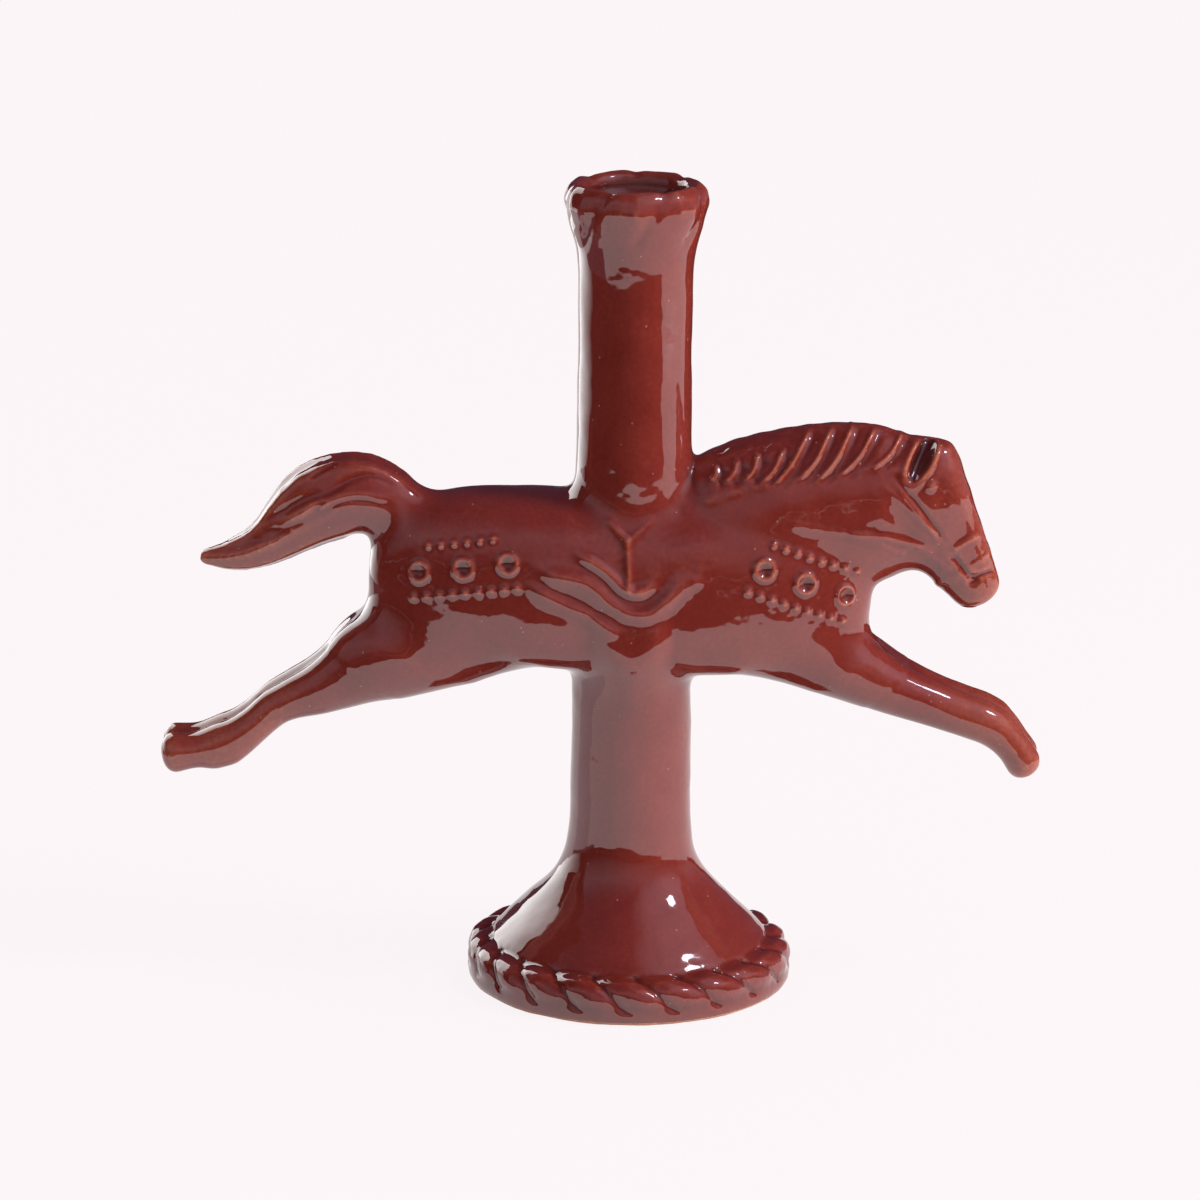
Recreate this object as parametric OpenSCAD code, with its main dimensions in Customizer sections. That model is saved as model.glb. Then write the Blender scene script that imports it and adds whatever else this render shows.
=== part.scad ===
// Glazed earthenware candle holder: a leaping fairground horse carried on a pole.
// X runs towards the horse's head, Y to its left side, and Z is up.
// The pole stands over the origin, and the foot rests on Z = 0.
// Each piece is cast or rolled by itself and luted to its neighbours with slip.

/* [Candle socket] */
// Bore that the candle stands in
candle_d = 22.4; // [21:0.2:24]
// Depth of the bore above its floor
socket_depth = 26; // [20:1:34]
// Thickness of the disc under the candle
floor_t = 4; // [3:0.5:6]
// Width of the ledge that carries the disc
ledge_w = 1.6; // [1:0.2:2.4]

/* [Pole] */
// Height of the rim above the table
holder_h = 205; // [190:1:230]
// Wall of the tube around the bore
pole_wall = 2.5; // [2:0.1:4]
// How much wider the tube is at its foot than at its rim
pole_taper = 3; // [0:0.5:6]
// Length of the spigot that enters the foot
spigot_l = 9; // [6:0.5:14]

/* [Collar] */
// Outer width of the rolled collar
collar_d = 36; // [33:0.5:40]
// Height of the collar from its lower edge to the rim
collar_h = 16; // [12:0.5:20]
// Height of the lip above the end of the tube
lip_h = 5; // [3:0.5:7]
// Mouth of the collar, a little wider than the bore
mouth_d = 24.6; // [24.4:0.1:26]
// Twisted lobes around the collar
collar_lobes = 7; // [5:1:14]
// How far the lobes stand out
collar_lobe_h = 0.5; // [0:0.1:0.8]

/* [Foot] */
// Width of the plinth that stands on the table
foot_d = 82; // [74:1:96]
// Height of the bell from the table to the pole
foot_h = 42; // [36:1:50]
// Height of the plinth under the rope
plinth_h = 3.6; // [3:0.2:6]
// Wall of the hollow bell
foot_wall = 4; // [3:0.2:5.5]
// Thickness of the rope around the foot
rope_d = 10; // [8:0.2:12]
// How deep the rope is pressed onto the plinth
rope_sink = 2.4; // [1.4:0.1:3]
// Strands that show around the rope
rope_lobes = 21; // [16:1:28]
// Depth of the creases between the strands
rope_crease = 1.3; // [0.4:0.1:1.8]

/* [Body] */
// Length from rump to breast
body_l = 126; // [114:1:140]
// Height from belly to back
body_h = 43.5; // [40:0.5:50]
// Width across the flanks
body_w = 41; // [38:1:46]
// Height of the middle of the body above the table
body_z = 104; // [98:1:112]
// How far the middle of the body lies behind the pole
body_back = 3; // [0:0.5:6]
// How much lower the breast is than the rump
body_tilt = 5; // [0:0.5:8]
// How square the flanks are, from 0 for a round body
body_square = 0.45; // [0:0.05:0.6]
// How much narrower the body is at the back than at the belly
back_taper = 0.2; // [0:0.05:0.4]
// Wall of the hollow body
body_wall = 5; // [4:0.5:7]

/* [Neck and head] */
// Length of the neck along its middle
neck_l = 57; // [50:1:64]
// Rise of the neck from its root to the poll
neck_rise = 11; // [6:1:16]
// Depth of the neck from crest to throat
neck_h = 45; // [40:1:50]
// Width across the neck
neck_w = 28; // [24:1:32]
// Length of the head from poll to muzzle
head_l = 37; // [33:1:42]
// Angle of the face below the level
head_tilt = 71; // [62:1:78]
// Depth of the head at the cheek
head_h = 25; // [22:0.5:28]
// Width across the cheeks
head_w = 20; // [17:0.5:23]
// Length of an ear
ear_l = 10; // [8:0.5:13]
// Width of an ear
ear_w = 6.5; // [5:0.25:8]
// Locks along the mane
mane_locks = 9; // [6:1:12]
// Thickness of the mane
mane_t = 1.6; // [1.2:0.1:2.4]
// Depth of the furrows between the locks
mane_furrow = 1.1; // [0.4:0.1:1.4]

/* [Tail] */
// Reach of the tail behind the rump
tail_l = 43; // [36:1:50]
// Depth of the tail where it is fullest
tail_h = 21; // [17:0.5:25]
// Width across the tail
tail_w = 17; // [14:0.5:20]
// Strands around the tail
tail_strands = 7; // [5:1:9]
// Depth of the furrows between the strands
tail_furrow = 0.7; // [0.2:0.1:1]

/* [Legs] */
// Reach of the hind legs behind the rump
hind_reach = 53; // [45:1:61]
// Drop of the hind hooves below the middle of the body
hind_drop = 45; // [39:1:51]
// Reach of the forelegs ahead of the breast
fore_reach = 40; // [33:1:47]
// Drop of the front hooves below the middle of the body
fore_drop = 46; // [40:1:52]
// Thickness of a leg at the shank
shank_h = 11.4; // [9.5:0.2:14]
// Width across one leg at the shank
leg_w = 11; // [9:0.2:13]
// How far the legs of a pair are pressed together
leg_press = 1.2; // [0.6:0.1:2]

/* [Harness] */
// Width of a medallion
medallion_d = 6.4; // [5:0.1:7]
// Thickness of the medallion's ring
medallion_t = 1.3; // [1:0.1:1.8]
// Distance between medallions
medallion_pitch = 11; // [9:0.5:12]
// Width of a bead
bead_d = 2.2; // [1.6:0.1:2.6]
// Distance between beads
bead_pitch = 3.2; // [2.8:0.1:3.6]
// Distance of the bead rows from the medallions
bead_row = 6.2; // [5.4:0.1:8]
// Thickness of the saddle cloths
cloth_t = 1.2; // [1:0.1:2]
// Thickness of the saddle flaps
flap_t = 1; // [0.8:0.1:1.6]
// How far a rolled hem stands out from its sheet
hem_h = 1.3; // [0.6:0.1:1.8]
// Width of the harness straps
strap_w = 2.4; // [1.8:0.1:3]
// Thickness of the harness straps
strap_t = 0.9; // [0.7:0.1:1.4]

/* [Hidden] */
$fn = 64;

glaze = [0.36, 0.09, 0.07];
glaze_thin = [0.50, 0.17, 0.12];
// Film of slip between two luted pieces
lute = 0.1;
// Length by which a cutting shape runs past what it cuts
past = 1;

// Candle socket and pole
candle_r = candle_d / 2;
// The disc drops in through the bore
disc_r = candle_r - 0.4;
core_r = candle_r - ledge_w;
spigot_r = core_r + pole_wall;
pole_top_z = holder_h - lip_h;
floor_z = pole_top_z - socket_depth;
pole_top_r = candle_r + pole_wall;
function pole_r(z) = pole_top_r + pole_taper / 2 * (pole_top_z - z) / (pole_top_z - foot_h);

// Foot
plinth_r = foot_d / 2;
plinth_bevel = 1;
rope_r = rope_d / 2;
rope_ring_r = plinth_r - rope_r + 0.7;
rope_z = plinth_h + rope_r - rope_sink;
bell_r = rope_ring_r - 0.5 * rope_r;
// Bell profile: [share of the flare, share of the height] from the pole down to the plinth
bell_curve = [[0, 1], [0.02, 0.88], [0.06, 0.76], [0.20, 0.62], [0.45, 0.48], [0.77, 0.33], [0.95, 0.22], [1, 0]];
bell_steps = 14;

// Body
rump_x = -body_back - body_l / 2;
breast_x = -body_back + body_l / 2;
body_fullness = 4;
flank_fullness = 2.6;

// Legs
hind_lane = leg_w / 2 - leg_press;

// A smooth curve through a list of vectors, at t from 0 to 1
function spline(list, t) =
    let(
        last = len(list) - 1,
        i = min(floor(t * last), last - 1),
        u = t * last - i,
        b = list[i],
        c = list[i + 1],
        a = i > 0 ? list[i - 1] : 2 * b - c,
        d = i + 2 <= last ? list[i + 2] : 2 * c - b
    )
    0.5 * (2 * b + (c - a) * u + (2 * a - 5 * b + 4 * c - d) * u * u + (3 * b - a - 3 * c + d) * u * u * u);

// A form is a function of t that gives [x, z, half depth, half width] of a section,
// and for a section that isn't an ellipse also its squareness and its taper towards the top.
// Its sections stand square to its path, which lies in the middle plane of the horse.
step_t = 0.01;
function heading(form, t) =
    let(
        p = form(max(t - step_t, 0)),
        q = form(min(t + step_t, 1)),
        d = [q[0] - p[0], q[1] - p[1]]
    )
    d / norm(d);

// A share from -1 to 1 raised to a power, with its sign kept
function bent(share, power) = sign(share) * pow(abs(share), power);

// A point on a form's skin: angle 0 is its right side, 90 its top and 180 its left side
function on_form(form, t, angle, lift = 0, push = 0, shrink = 1) =
    let(
        s = form(t),
        d = heading(form, t),
        square = is_undef(s[4]) ? 0 : s[4],
        taper = is_undef(s[5]) ? 0 : s[5],
        up = bent(sin(angle), 1 - square),
        side = bent(cos(angle), 1 - square) * (1 - taper * (1 + up) / 2),
        rise = s[2] * shrink * up + lift * sin(angle),
        out = s[3] * shrink * side + lift * cos(angle)
    )
    [s[0] + d[0] * push - d[1] * rise, -out, s[1] + d[1] * push + d[0] * rise];

// The outward direction of a form's skin
function normal(form, t, angle) =
    let(
        along = on_form(form, min(t + step_t, 1), angle) - on_form(form, max(t - step_t, 0), angle),
        round = on_form(form, t, angle + 1) - on_form(form, t, angle - 1),
        n = cross(round, along)
    )
    n / norm(n);

function ring(form, t, sides, lift = 0, push = 0, shrink = 1) =
    [for (i = [0 : sides - 1]) on_form(form, t, 360 * i / sides, lift, push, shrink)];

// Rings of a form with domed ends: the domes stand out by tip_a at the start and tip_b at the end
dome_steps = 3;
function domed_rings(form, sides, count, tip_a, tip_b) = concat(
    [for (k = [dome_steps : -1 : 1]) ring(form, 0, sides, 0, -tip_a * sin(88 * k / dome_steps), cos(88 * k / dome_steps))],
    [for (k = [0 : count]) ring(form, k / count, sides)],
    [for (k = [1 : dome_steps]) ring(form, 1, sides, 0, tip_b * sin(88 * k / dome_steps), cos(88 * k / dome_steps))]
);

// End of a row of rings, starting at point a: one polygon, or a strip of triangles for the thin end of a sheet
function cap(a, sides, sheet) = sheet
    ? [for (i = [0 : sides / 2 - 2])
        each [[a + i, a + i + 1, a + sides - 2 - i], [a + i, a + sides - 2 - i, a + sides - 1 - i]]]
    : [[for (i = [0 : sides - 1]) a + i]];
function turned(faces) = [for (f = faces) [for (i = [len(f) - 1 : -1 : 0]) f[i]]];

// Closes a list of rings into a solid
module skin(rings, sheet = false) {
    sides = len(rings[0]);
    last = len(rings) - 1;
    polyhedron(
        [for (r = rings) each r],
        concat(
            turned(cap(0, sides, sheet)),
            [for (j = [0 : last - 1], i = [0 : sides - 1])
                let(a = j * sides + i, b = j * sides + (i + 1) % sides)
                each [[a, b, a + sides], [b, b + sides, a + sides]]],
            cap(last * sides, sides, sheet)
        )
    );
}

// A ring of rings that closes on itself, such as a rope around the foot
module wreath(rings) {
    sides = len(rings[0]);
    count = len(rings);
    polyhedron(
        [for (r = rings) each r],
        [for (j = [0 : count - 1], i = [0 : sides - 1])
            let(
                a = j * sides + i,
                b = j * sides + (i + 1) % sides,
                c = ((j + 1) % count) * sides + i,
                d = ((j + 1) % count) * sides + (i + 1) % sides
            )
            each [[a, c, b], [b, c, d]]]
    );
}

// A sheet laid on a form, over what is base thick there:
// place(u, v) gives [t, angle] and height(u, v) the sheet's thickness
module laid_on(form, rows, columns, place, height, base = 0) {
    skin([for (j = [0 : rows])
        let(u = j / rows)
        concat(
            [for (i = [0 : columns])
                let(p = place(u, i / columns))
                on_form(form, p[0], p[1], base + lute + height(u, i / columns))],
            [for (i = [columns : -1 : 0])
                let(p = place(u, i / columns))
                on_form(form, p[0], p[1], base + lute)]
        )], sheet = true);
}

module mirrored() {
    mirror([0, 1, 0]) children();
}

// Body: a hollow barrel, fullest at the girth
function bulge(t, fullness) = pow(1 - pow(abs(2 * t - 1), fullness), 1 / fullness);
body_form = function(t) [
    rump_x + body_l * t,
    body_z + body_tilt * (0.5 - t),
    body_h / 2 * bulge(t, body_fullness),
    body_w / 2 * bulge(t, flank_fullness),
    body_square * bulge(t, flank_fullness),
    back_taper
];
// Share of the body's length at a distance x from the pole
function body_t(x) = (x - rump_x) / body_l;
// Angle on the body's right side at a height z
function body_angle(t, z) =
    let(s = body_form(t))
    asin(bent((z - s[1]) / s[2], 1 / (1 - s[4])));

// The hollow inside, which the pole divides into two chambers
core_form = function(t) [
    rump_x + body_wall + (body_l - 2 * body_wall) * t,
    body_form(t)[1],
    (body_h / 2 - body_wall) * bulge(t, body_fullness),
    min(body_w / 2 - body_wall, pole_r(body_z) - 1.5) * bulge(t, flank_fullness)
];

module barrel_skin(form, sides, rings) {
    skin([for (k = [0 : rings]) ring(form, 0.5 - 0.498 * cos(180 * k / rings), sides)]);
}

module body_skin() {
    barrel_skin(body_form, 32, 22);
}

// The pole's outside with its film of slip, which cuts the seats around it
module pole_seat() {
    rotate_extrude()
        polygon([
            [0, foot_h], [pole_r(foot_h) + lute, foot_h],
            [pole_top_r + lute, pole_top_z], [0, pole_top_z]
        ]);
}

module barrel() {
    color(glaze) difference() {
        body_skin();
        barrel_skin(core_form, 16, 12);
        pole_seat();
    }
}

// Neck: a deep wedge from the shoulder to the poll
neck_root = [breast_x - 0.377 * body_l, body_z + 0.195 * body_h];
poll = neck_root + [neck_l, neck_rise];
neck_form = function(t) spline([
    [neck_root[0], neck_root[1], 0.42 * neck_h, 0.46 * neck_w],
    [neck_root[0] + 0.28 * neck_l, neck_root[1] + 0.42 * neck_rise, 0.50 * neck_h, 0.50 * neck_w],
    [neck_root[0] + 0.57 * neck_l, neck_root[1] + 0.80 * neck_rise, 0.50 * neck_h, 0.45 * neck_w],
    [neck_root[0] + 0.82 * neck_l, neck_root[1] + 1.02 * neck_rise, 0.46 * neck_h, 0.39 * neck_w],
    [poll[0], poll[1], 0.385 * neck_h, 0.34 * neck_w]
], t);

module neck_skin() {
    skin(domed_rings(neck_form, 22, 10, 2, 5));
}

module neck() {
    color(glaze) difference() {
        neck_skin();
        body_skin();
        pole_seat();
    }
}

// Head: its path runs down behind the straight line of the face
face = [cos(head_tilt), -sin(head_tilt)];
brow = poll + [0.3 * head_l, 0.6 * head_h];
function head_station(s, depth, width) =
    let(p = brow + s * head_l * face + depth * [face[1], -face[0]])
    [p[0], p[1], depth, width];
head_form = function(t) spline([
    head_station(0.02, 0.43 * head_h, 0.42 * head_w),
    head_station(0.30, 0.50 * head_h, 0.50 * head_w),
    head_station(0.60, 0.41 * head_h, 0.40 * head_w),
    head_station(0.84, 0.31 * head_h, 0.34 * head_w),
    head_station(0.98, 0.26 * head_h, 0.30 * head_w)
], t);

module head_skin() {
    skin(domed_rings(head_form, 22, 12, 8, 4));
}

module head() {
    color(glaze) difference() {
        head_skin();
        neck_skin();
    }
}

// Ear: a leaf laid back against the poll
ear_root = poll + [-0.1 * ear_l, 0.19 * neck_h];
ear_lean = 64;
ear_form = function(t) spline([
    [0, 0, 0.34 * ear_w, 0.5 * ear_w],
    [0.5 * ear_l, 0, 0.5 * ear_w, 0.5 * ear_w],
    [ear_l, 0, 0.16 * ear_w, 0.2 * ear_w]
], t);

module right_ear() {
    color(glaze) difference() {
        translate([ear_root[0], -0.30 * neck_w, ear_root[1]])
            rotate([0, -ear_lean, 0])
                skin(domed_rings(ear_form, 12, 6, 1.5, 0.8));
        neck_skin();
        head_skin();
    }
}

module left_ear() {
    mirrored() right_ear();
}

// Mane: slanting locks that hang over both sides of the crest
// It starts where the crest comes clear of the pole, and ends behind the ears
mane_start = [for (i = [0 : 50]) if (on_form(neck_form, i / 100, 90)[0] > pole_r(body_z) + 2 * lute) i / 100][0];
mane_end = 0.93;
mane_hem = 32;
mane_slant = 0.19;
mane_rows = 4 * mane_locks + 4;
module mane() {
    place = function(u, v) [
        mane_start + (mane_end - mane_start) * u,
        mane_hem + (180 - 2 * mane_hem) * v
    ];
    locks = function(u, v) mane_t - mane_furrow / 2
        + mane_furrow / 2 * cos(360 * mane_locks * (u + mane_slant * (abs(2 * v - 1))));
    color(glaze) laid_on(neck_form, mane_rows, 10, place, locks);
}

// Tail: rises from the rump, then sweeps back and down to a point
dock = [rump_x + 0.103 * body_l, body_z + 0.356 * body_h];
tail_form = function(t) spline([
    [dock[0], dock[1], 0.33 * tail_h, 0.40 * tail_w],
    [dock[0] - 0.14 * tail_l, dock[1] + 0.167 * tail_h, 0.38 * tail_h, 0.47 * tail_w],
    [dock[0] - 0.36 * tail_l, dock[1] + 0.286 * tail_h, 0.49 * tail_h, 0.50 * tail_w],
    [dock[0] - 0.60 * tail_l, dock[1] + 0.143 * tail_h, 0.49 * tail_h, 0.50 * tail_w],
    [dock[0] - 0.88 * tail_l, dock[1] - 0.31 * tail_h, 0.29 * tail_h, 0.35 * tail_w],
    [dock[0] - 1.08 * tail_l, dock[1] - 0.476 * tail_h, 0.20 * tail_h, 0.25 * tail_w],
    [dock[0] - 1.22 * tail_l, dock[1] - 0.5 * tail_h, 0.11 * tail_h, 0.15 * tail_w]
], t);
tail_rings = 20;
tail_sides = 4 * tail_strands;
tail_twist = 60;
module tail() {
    color(glaze) difference() {
        skin(concat(
            [for (k = [0 : tail_rings])
                let(t = k / tail_rings)
                [for (i = [0 : tail_sides - 1])
                    let(a = 360 * i / tail_sides)
                    on_form(tail_form, t, a, tail_furrow * sin(180 * t) * cos(tail_strands * a + tail_twist * t))]],
            [for (k = [1 : dome_steps])
                ring(tail_form, 1, tail_sides, 0, 3 * sin(88 * k / dome_steps), cos(88 * k / dome_steps))]
        ));
        body_skin();
    }
}

// Legs: each pair is pressed together along the middle plane
module one_side() {
    reach = body_l + hind_reach + fore_reach;
    translate([-reach, -body_w, 0]) cube([2 * reach, body_w, holder_h]);
}

hip = [rump_x + 0.214 * body_l, body_z - 0.207 * body_h];
hind_hoof = [rump_x - hind_reach + 4, body_z - hind_drop];
hind_run = hind_hoof - hip;
function hind_station(along, down, depth, width) =
    [hip[0] + along * hind_run[0], hip[1] + down * hind_run[1], depth * shank_h / 2, width * leg_w / 2];
hind_form = function(t) spline([
    hind_station(-0.18, -0.10, 2.80, 2.00),
    hind_station(0.00, 0.00, 2.90, 2.15),
    hind_station(0.21, 0.20, 2.35, 2.00),
    hind_station(0.35, 0.32, 2.00, 1.70),
    hind_station(0.43, 0.43, 1.52, 1.42),
    hind_station(0.53, 0.54, 1.15, 1.15),
    hind_station(0.65, 0.64, 0.88, 0.98),
    hind_station(0.75, 0.83, 0.86, 0.96),
    hind_station(0.84, 0.95, 1.08, 1.00),
    hind_station(0.93, 0.98, 0.80, 0.90),
    hind_station(1.00, 1.00, 1.00, 1.00)
], t);

shoulder = [breast_x - 0.254 * body_l, body_z - 0.184 * body_h];
fore_hoof = [breast_x + fore_reach - 1, body_z - fore_drop];
fore_run = fore_hoof - shoulder;
function fore_station(along, down, depth, width) =
    [shoulder[0] + along * fore_run[0], shoulder[1] + down * fore_run[1], depth * shank_h / 2, width * leg_w / 2];
fore_form = function(t) spline([
    fore_station(0.00, 0.00, 2.60, 2.15),
    fore_station(0.22, 0.18, 2.15, 1.95),
    fore_station(0.42, 0.39, 1.45, 1.50),
    fore_station(0.58, 0.53, 1.14, 1.14),
    fore_station(0.75, 0.65, 1.00, 1.00),
    fore_station(0.88, 0.74, 0.96, 0.96),
    fore_station(0.96, 0.89, 0.78, 0.88),
    fore_station(1.00, 1.00, 0.84, 0.92)
], t);

module right_leg(form, rings) {
    color(glaze) difference() {
        intersection() {
            translate([0, -hind_lane, 0]) skin(domed_rings(form, 14, rings, 2, 3.5));
            one_side();
        }
        body_skin();
        pole_seat();
    }
}

module right_foreleg() {
    right_leg(fore_form, 15);
}

module left_foreleg() {
    mirrored() right_foreleg();
}

module right_hind_leg() {
    right_leg(hind_form, 18);
}

module left_hind_leg() {
    mirrored() right_hind_leg();
}

// Saddle cloth and, over it, the flap: each hangs in a swag with a rolled hem.
// A swag is [rear x, front x, lowest x, lowest z, rise of its ends, top z].
cloth_swag = [
    -0.167 * body_l, 0.135 * body_l, 0.016 * body_l,
    body_z - 0.184 * body_h, 0.253 * body_h, body_z + 0.34 * body_h
];
flap_swag = [
    -0.111 * body_l, 0.08 * body_l, 0.012 * body_l,
    body_z - 0.01 * body_h, 0.207 * body_h, body_z + 0.32 * body_h
];
hem_share = 0.3;
function swag_x(swag, u) = swag[0] + (swag[1] - swag[0]) * u;
function swag_z(swag, x) =
    let(side = x < swag[2] ? swag[2] - swag[0] : swag[1] - swag[2])
    swag[3] + swag[4] * pow(sin(90 * abs(x - swag[2]) / side), 2);
module draped(swag, sheet, hem, base, rows, columns) {
    place = function(u, v)
        let(x = swag_x(swag, u), t = body_t(x), low = swag_z(swag, x))
        [t, body_angle(t, low + (swag[5] - low) * v)];
    roll = function(u, v) sheet + (v < hem_share ? hem * sin(180 * v / hem_share) : 0);
    laid_on(body_form, rows, columns, place, roll, base);
}

module right_saddle_cloth() {
    color(glaze) difference() {
        draped(cloth_swag, cloth_t, hem_h, 0, 18, 12);
        pole_seat();
    }
}

module left_saddle_cloth() {
    mirrored() right_saddle_cloth();
}

module right_saddle_flap() {
    color(glaze) difference() {
        draped(flap_swag, flap_t, 0.6 * hem_h, cloth_t + lute, 14, 10);
        draped(cloth_swag, cloth_t + lute, hem_h, -past, 18, 12);
        pole_seat();
    }
}

module left_saddle_flap() {
    mirrored() right_saddle_flap();
}

// Sprigs: small cast ornaments set on a form's skin
module seated(form, t, angle) {
    n = normal(form, t, angle);
    translate(on_form(form, t, angle, lute))
        rotate([0, acos(n[2]), atan2(n[1], n[0])])
            children();
}

module bead() {
    rotate_extrude() intersection() {
        circle(d = bead_d);
        square(bead_d);
    }
}

module medallion() {
    rotate_extrude() translate([medallion_d / 2 - medallion_t / 2, 0]) intersection() {
        circle(d = medallion_t);
        translate([-medallion_t, 0]) square([2 * medallion_t, medallion_t]);
    }
}

// A band of three medallions between two rows of beads, around a middle point [x, z]
module band(middle, slope, beads_above, beads_below) {
    for (i = [-1 : 1]) band_place(middle, slope, i * medallion_pitch, 0) medallion();
    bead_line(middle, slope, beads_above, bead_row);
    bead_line(middle, slope, beads_below, -bead_row);
}

module bead_line(middle, slope, count, across) {
    for (i = [0 : count - 1]) band_place(middle, slope, (i - (count - 1) / 2) * bead_pitch, across) bead();
}

module band_place(middle, slope, along, across) {
    x = middle[0] + along * cos(slope) - across * sin(slope);
    z = middle[1] + along * sin(slope) + across * cos(slope);
    seated(body_form, body_t(x), body_angle(body_t(x), z)) children();
}

module right_breast_band() {
    color(glaze_thin) band([breast_x - 0.139 * body_l, body_z + 0.069 * body_h], -20, 8, 9);
}

module left_breast_band() {
    mirrored() right_breast_band();
}

module right_rump_band() {
    color(glaze_thin) band([rump_x + 0.19 * body_l, body_z + 0.15 * body_h], 8, 6, 9);
}

module left_rump_band() {
    mirrored() right_rump_band();
}

// Straps: narrow strips laid on a form between two places [t, angle]
module strap(form, from, to, rows = 8, base = 0) {
    span = form(1) - form(0);
    reach = norm([span[0], span[1]]);
    turn = form((from[0] + to[0]) / 2)[2] * PI / 180;
    along = [(to[0] - from[0]) * reach, (to[1] - from[1]) * turn];
    across = [-along[1] / reach, along[0] / turn] * strap_w / 2 / norm(along);
    place = function(u, v) from + (to - from) * u + across * (2 * v - 1);
    crown = function(u, v) strap_t * (0.35 + 0.65 * sin(180 * v));
    laid_on(form, rows, 4, place, crown, base);
}

module right_cheek_strap() {
    color(glaze_thin) difference() {
        strap(head_form, [0.12, -42], [0.64, -16]);
        neck_skin();
    }
}

module left_cheek_strap() {
    mirrored() right_cheek_strap();
}

noseband_t = 0.70;
noseband_sides = 20;
module noseband() {
    half = strap_w / 2 / head_l;
    color(glaze_thin) wreath([for (i = [0 : noseband_sides - 1])
        let(a = 360 * i / noseband_sides)
        [
            on_form(head_form, noseband_t - half, a, lute),
            on_form(head_form, noseband_t - half, a, lute + 0.4 * strap_t),
            on_form(head_form, noseband_t, a, lute + strap_t),
            on_form(head_form, noseband_t + half, a, lute + 0.4 * strap_t),
            on_form(head_form, noseband_t + half, a, lute)
        ]]);
}

module right_rein() {
    color(glaze_thin) difference() {
        strap(neck_form, [0.42, 4], [0.97, -34], 12);
        head_skin();
        body_skin();
    }
}

module left_rein() {
    mirrored() right_rein();
}

module right_stirrup_strap() {
    color(glaze_thin) strap(
        body_form,
        [body_t(-1), body_angle(body_t(-1), body_z + 0.31 * body_h)],
        [body_t(0.5), body_angle(body_t(0.5), body_z + 0.12 * body_h)],
        8, cloth_t + flap_t + 2 * lute
    );
}

module left_stirrup_strap() {
    mirrored() right_stirrup_strap();
}

// Pole: a tapered tube with the candle's bore at its top and a spigot at its foot
module pole() {
    color(glaze) rotate_extrude() polygon([
        [core_r, foot_h - spigot_l], [spigot_r, foot_h - spigot_l],
        [spigot_r, foot_h], [pole_r(foot_h), foot_h],
        [pole_top_r, pole_top_z], [candle_r, pole_top_z],
        [candle_r, floor_z], [disc_r + lute, floor_z],
        [disc_r + lute, floor_z - floor_t], [core_r, floor_z - floor_t]
    ]);
}

module socket_floor() {
    color(glaze) translate([0, 0, floor_z - floor_t]) cylinder(r = disc_r, h = floor_t);
}

// Collar: a softly twisted roll that caps the tube and flares the mouth
collar_r = collar_d / 2;
collar_z = holder_h - collar_h;
mouth_r = mouth_d / 2;
lip_r = (collar_r + mouth_r) / 2;
// Collar section: [radius, height], from the mouth over the lip to the lower edge
collar_section = [
    [mouth_r, collar_z], [mouth_r, holder_h - 2.5], [mouth_r + 0.8, holder_h - 0.7], [lip_r, holder_h],
    [collar_r - 1.0, holder_h - 1.8], [collar_r, holder_h - 0.32 * collar_h],
    [collar_r - 0.8, holder_h - 0.52 * collar_h], [pole_r(collar_z) + 1.1, holder_h - 0.74 * collar_h],
    [pole_r(collar_z) + 0.3, collar_z]
];
collar_steps = 4 * collar_lobes;
module collar() {
    color(glaze) difference() {
        wreath([for (i = [0 : collar_steps - 1])
            let(a = 360 * i / collar_steps)
            [for (p = collar_section)
                let(
                    free = max(0, min(1, (p[0] - mouth_r - 0.5) / 2)) * max(0, min(1, (p[1] - collar_z) / 4)),
                    r = p[0] + collar_lobe_h * free * cos(collar_lobes * a + 12 * (p[1] - holder_h))
                )
                [r * cos(a), r * sin(a), p[1]]]]);
        pole_seat();
    }
}

// Foot: a hollow bell on a plinth, with a ledge for the rope
function bell_point(u) =
    let(p = spline(bell_curve, u))
    [pole_r(foot_h) + (bell_r - pole_r(foot_h)) * p[0], plinth_h + (foot_h - plinth_h) * p[1]];
module foot_profile() {
    polygon(concat(
        [[0, 0], [plinth_r - plinth_bevel, 0], [plinth_r, plinth_bevel], [plinth_r, plinth_h]],
        [for (k = [bell_steps : -1 : 0]) bell_point(k / bell_steps)],
        [[0, foot_h]]
    ));
}

module foot() {
    socket_r = spigot_r + lute;
    socket_z = foot_h - spigot_l;
    color(glaze) rotate_extrude() difference() {
        foot_profile();
        polygon(concat(
            [[0, -past], [bell_r - foot_wall, -past]],
            [for (k = [bell_steps : -1 : 0])
                let(p = bell_point(k / bell_steps))
                if (p[1] < socket_z - foot_wall && p[0] - foot_wall > socket_r) [p[0] - foot_wall, p[1] - foot_wall / 2]],
            [[socket_r, socket_z], [socket_r, foot_h + past], [0, foot_h + past]]
        ));
    }
}

rope_sides = 10;
rope_steps = 5 * rope_lobes;
module rope_border() {
    color(glaze) difference() {
        wreath([for (i = [0 : rope_steps - 1])
            let(a = 360 * i / rope_steps)
            [for (j = [0 : rope_sides - 1])
                let(
                    b = -360 * j / rope_sides,
                    r = rope_r - rope_crease * (1 - abs(cos(rope_lobes * a / 2 + b)))
                )
                [(rope_ring_r + r * cos(b)) * cos(a), (rope_ring_r + r * cos(b)) * sin(a), rope_z + r * sin(b)]]]);
        rotate_extrude() foot_profile();
    }
}

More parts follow.
